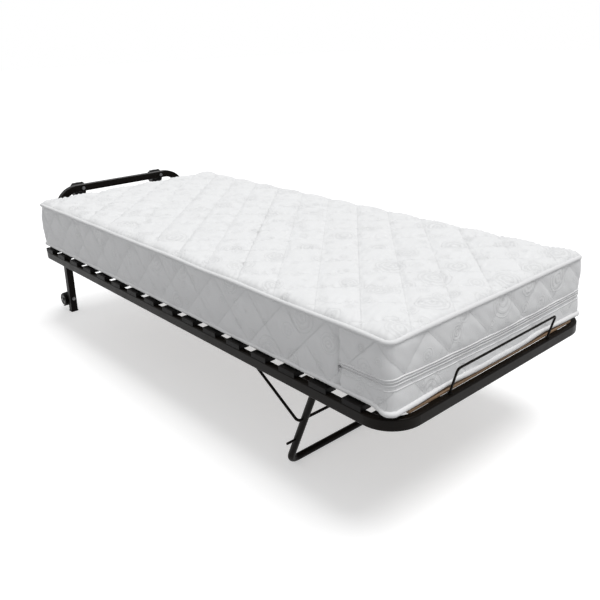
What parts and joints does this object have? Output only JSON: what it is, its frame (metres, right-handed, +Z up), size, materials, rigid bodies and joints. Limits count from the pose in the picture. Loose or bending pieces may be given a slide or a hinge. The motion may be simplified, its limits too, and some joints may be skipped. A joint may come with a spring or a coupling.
{
  "type": "stacking bed",
  "caption": "Single stacking guest bed: tube frame with sprung slats and zipped mattress, castored head hoop and folding braced foot leg.",
  "frame": {"origin": "middle of the whole bed's footprint, on the floor", "axes": "+X across the bed, +Y along it towards the head hoop, +Z up"},
  "size_m": [0.844, 2.079, 0.554],
  "materials": {
    "black_steel": "satin",
    "zinc_steel": "satin",
    "black_plastic": "matte",
    "black_rubber": "matte",
    "beech": "satin",
    "white_fabric": "matte",
    "foam": "matte"
  },
  "bodies": {
    "bed_frame": {"main_frame": "black_steel", "slat_01": "beech", "slat_02": "beech", "slat_03": "beech", "slat_04": "beech", "slat_05": "beech", "slat_06": "beech", "slat_07": "beech", "slat_08": "beech", "slat_09": "beech", "slat_10": "beech", "slat_11": "beech", "slat_12": "beech", "slat_13": "beech", "slat_14": "beech", "slat_15": "beech", "slat_16": "beech", "foot_slat": "beech", "slat_holders_left": "black_plastic", "slat_holders_right": "black_plastic", "head_hoop": "black_steel", "hoop_stays": "black_steel", "hoop_feet": "black_plastic", "leg_brackets": "black_steel", "leg_pivot_bolts": "zinc_steel", "brace_guides": "black_steel", "catch_clips": "zinc_steel", "mattress_retainer": "black_steel", "retainer_grommets": "black_rubber", "castor_stems": "zinc_steel", "mattress_cover": "white_fabric", "mattress_core": "foam"},
    "folding_leg": {"folding_leg": "black_steel", "leg_bushes": "black_plastic", "catch_pins": "black_steel"},
    "brace": {"brace": "black_steel"},
    "castor_1": {"castor_hood_1": "black_plastic", "castor_axle_1": "zinc_steel"},
    "castor_1_wheel_left": {"castor_wheel_1_left": "black_rubber"},
    "castor_1_wheel_right": {"castor_wheel_1_right": "black_rubber"},
    "castor_2": {"castor_hood_2": "black_plastic", "castor_axle_2": "zinc_steel"},
    "castor_2_wheel_left": {"castor_wheel_2_left": "black_rubber"},
    "castor_2_wheel_right": {"castor_wheel_2_right": "black_rubber"},
    "castor_3": {"castor_hood_3": "black_plastic", "castor_axle_3": "zinc_steel"},
    "castor_3_wheel_left": {"castor_wheel_3_left": "black_rubber"},
    "castor_3_wheel_right": {"castor_wheel_3_right": "black_rubber"},
    "castor_4": {"castor_hood_4": "black_plastic", "castor_axle_4": "zinc_steel"},
    "castor_4_wheel_left": {"castor_wheel_4_left": "black_rubber"},
    "castor_4_wheel_right": {"castor_wheel_4_right": "black_rubber"}
  },
  "joints": [
    {"name": "leg_fold", "type": "hinge", "parent": "bed_frame", "child": "folding_leg", "pos_m": [0, -0.7115, 0.295], "axis": [1, 0, 0], "range_deg": [0, 65.81]},
    {"name": "brace_fold", "type": "hinge", "parent": "folding_leg", "child": "brace", "pos_m": [0, -0.65742, 0.17459], "axis": [1, 0, 0], "range_deg": [-90.68, 0]},
    {"name": "castor_1_swivel", "type": "hinge", "parent": "bed_frame", "child": "castor_1", "pos_m": [-0.294, 0.9675, 0.06], "axis": [0, 1, 0], "continuous": true},
    {"name": "castor_1_roll_left", "type": "hinge", "parent": "castor_1", "child": "castor_1_wheel_left", "pos_m": [-0.294, 1.014, 0.046], "axis": [1, 0, 0], "continuous": true},
    {"name": "castor_1_roll_right", "type": "hinge", "parent": "castor_1", "child": "castor_1_wheel_right", "pos_m": [-0.294, 1.014, 0.046], "axis": [1, 0, 0], "continuous": true},
    {"name": "castor_2_swivel", "type": "hinge", "parent": "bed_frame", "child": "castor_2", "pos_m": [0.294, 0.9675, 0.06], "axis": [0, 1, 0], "continuous": true},
    {"name": "castor_2_roll_left", "type": "hinge", "parent": "castor_2", "child": "castor_2_wheel_left", "pos_m": [0.294, 1.014, 0.046], "axis": [1, 0, 0], "continuous": true},
    {"name": "castor_2_roll_right", "type": "hinge", "parent": "castor_2", "child": "castor_2_wheel_right", "pos_m": [0.294, 1.014, 0.046], "axis": [1, 0, 0], "continuous": true},
    {"name": "castor_3_swivel", "type": "hinge", "parent": "bed_frame", "child": "castor_3", "pos_m": [-0.188, 0.9675, 0.538], "axis": [0, 1, 0], "continuous": true},
    {"name": "castor_3_roll_left", "type": "hinge", "parent": "castor_3", "child": "castor_3_wheel_left", "pos_m": [-0.188, 1.014, 0.524], "axis": [1, 0, 0], "continuous": true},
    {"name": "castor_3_roll_right", "type": "hinge", "parent": "castor_3", "child": "castor_3_wheel_right", "pos_m": [-0.188, 1.014, 0.524], "axis": [1, 0, 0], "continuous": true},
    {"name": "castor_4_swivel", "type": "hinge", "parent": "bed_frame", "child": "castor_4", "pos_m": [0.188, 0.9675, 0.538], "axis": [0, 1, 0], "continuous": true},
    {"name": "castor_4_roll_left", "type": "hinge", "parent": "castor_4", "child": "castor_4_wheel_left", "pos_m": [0.188, 1.014, 0.524], "axis": [1, 0, 0], "continuous": true},
    {"name": "castor_4_roll_right", "type": "hinge", "parent": "castor_4", "child": "castor_4_wheel_right", "pos_m": [0.188, 1.014, 0.524], "axis": [1, 0, 0], "continuous": true}
  ],
  "couplings": [
    {"joint": "brace_fold", "follows": "leg_fold", "ratio": -1.3777}
  ]
}
